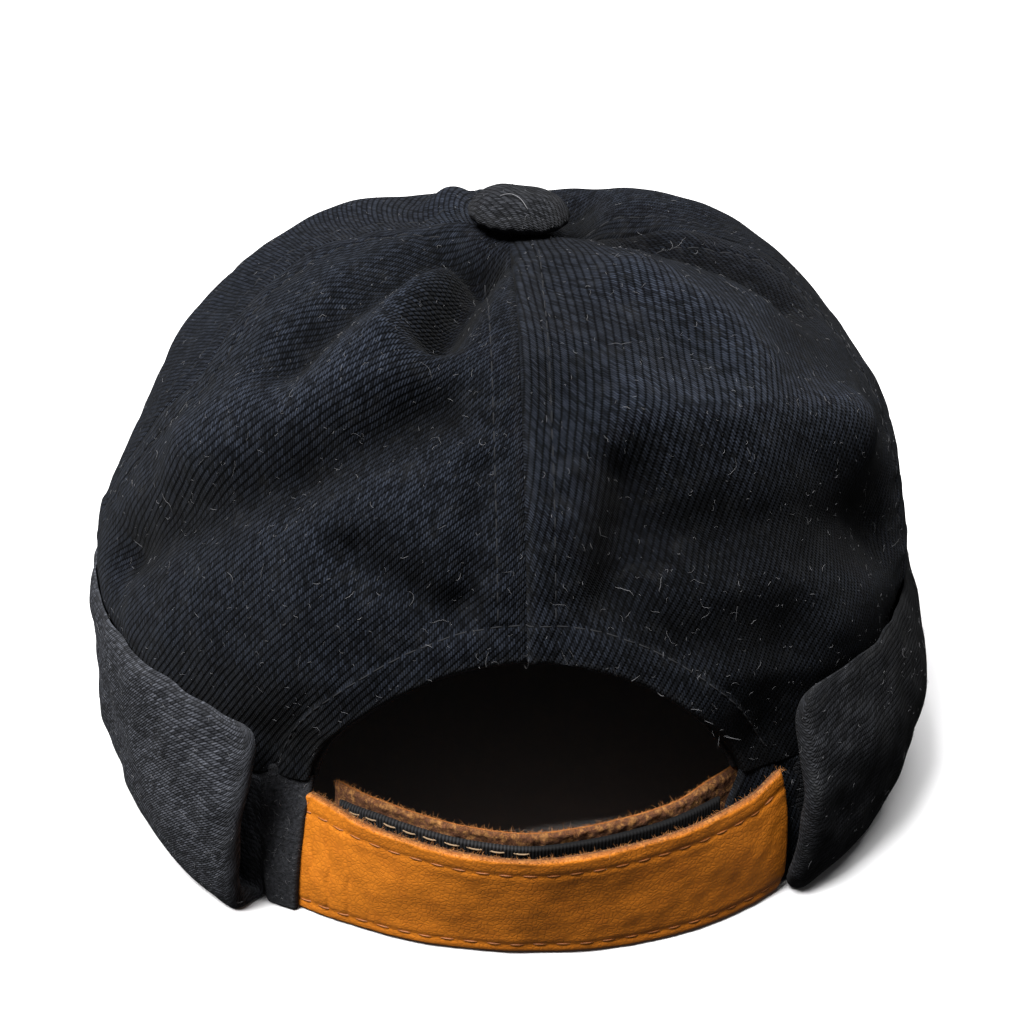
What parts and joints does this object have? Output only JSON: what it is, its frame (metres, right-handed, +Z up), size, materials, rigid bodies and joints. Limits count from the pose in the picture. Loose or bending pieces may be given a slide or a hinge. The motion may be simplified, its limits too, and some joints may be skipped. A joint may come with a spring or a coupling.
{
  "type": "breton fisherman cap",
  "caption": "Brimless fisherman cap in black twill: panelled crown with a covered button, turned-up cuff, and a back opening closed by a leather strap adjuster.",
  "frame": {"origin": "on the surface that the cap rests on, under the middle of the whole cap", "axes": "+Z up to the button, +Y towards the forehead, -Y towards the back opening and the leather strap, +X to the right seen from the back"},
  "size_m": [0.2062, 0.1936, 0.1437],
  "materials": {
    "twill": "heavy cotton twill, black, with light lint",
    "band_twill": "heavy cotton twill, black, slightly faded at the folds",
    "facing": "plain woven facing, black",
    "leather": "tan leather, satin, with raw brown edges and stitching",
    "tape": "black hook-and-loop tape"
  },
  "bodies": {
    "root": {"crown_panel_back_left": "twill", "crown_panel_back_right": "twill", "crown_panel_front_right": "twill", "crown_panel_front_left": "twill", "opening_facing": "facing", "cuff": "band_twill", "strap_outer": "leather", "hook_tape": "tape", "loop_tape": "tape", "strap_inner": "leather", "button": "twill"}
  },
  "joints": []
}
